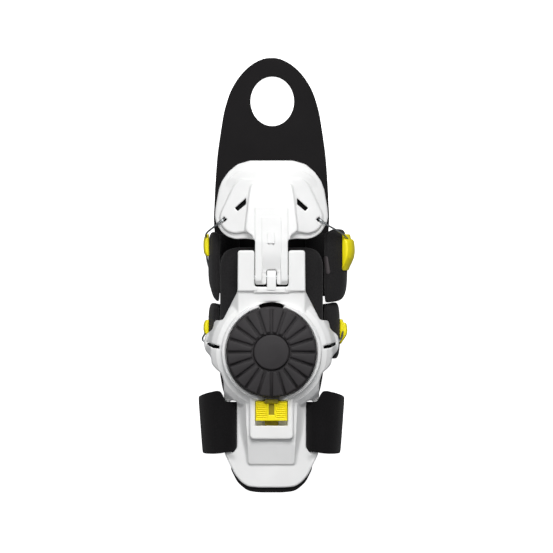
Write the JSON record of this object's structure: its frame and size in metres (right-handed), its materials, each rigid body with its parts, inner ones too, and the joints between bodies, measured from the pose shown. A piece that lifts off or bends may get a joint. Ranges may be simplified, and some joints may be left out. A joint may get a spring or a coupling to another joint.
{
  "type": "hinged wrist brace",
  "caption": "Hinged wrist brace with a hard forearm frame, hand plate, tightening dial, release catch, cables, padded side walls and a forearm strap.",
  "frame": {"origin": "on the underside of the palm tongue, on the middle line of the frame, just in front of the hinge", "axes": "+Z away from the palm to the back of the hand, +Y towards the fingers, +X towards the thumb"},
  "size_m": [0.1021, 0.2865, 0.071],
  "materials": {
    "white_plastic": "satin",
    "dark_plastic": "matt, moulded",
    "yellow_plastic": "satin",
    "steel": "stranded wire and plain pin",
    "liner_fabric": "knit over foam",
    "tongue_fabric": "fine weave",
    "strap_fabric": "brushed loop"
  },
  "bodies": {
    "forearm": {"forearm_frame": "white_plastic", "hinge_pin": "steel", "dorsal_liner": "liner_fabric", "palm_tongue": "tongue_fabric", "hand_wing_right": "liner_fabric", "hand_wing_left": "liner_fabric", "wrist_wing_right": "liner_fabric", "wrist_wing_left": "liner_fabric", "hand_guide_right": "yellow_plastic", "hand_guide_left": "yellow_plastic", "wrist_guide_right": "yellow_plastic", "wrist_guide_left": "yellow_plastic", "cable_right": "steel", "cable_left": "steel", "forearm_strap": "strap_fabric"},
    "hand": {"hand_plate": "white_plastic", "hand_pad": "liner_fabric"},
    "dial": {"dial": "dark_plastic", "dial_cap": "dark_plastic"},
    "latch": {"release_latch": "yellow_plastic"}
  },
  "joints": [
    {"name": "wrist_hinge", "type": "hinge", "parent": "forearm", "child": "hand", "pos_m": [0, -0.0021, 0.0555], "axis": [1, 0, 0], "range_deg": [-12, 45], "deforming": ["cable_right", "cable_left"]},
    {"name": "dial_spin", "type": "hinge", "parent": "forearm", "child": "dial", "pos_m": [0, -0.0514, 0.06], "axis": [0, 0, 1], "continuous": true},
    {"name": "latch_slide", "type": "slide", "parent": "forearm", "child": "latch", "axis": [0, -1, 0], "range_m": [0, 0.0029], "stiffness_N_per_m": 200, "springref_m": -0.002}
  ]
}
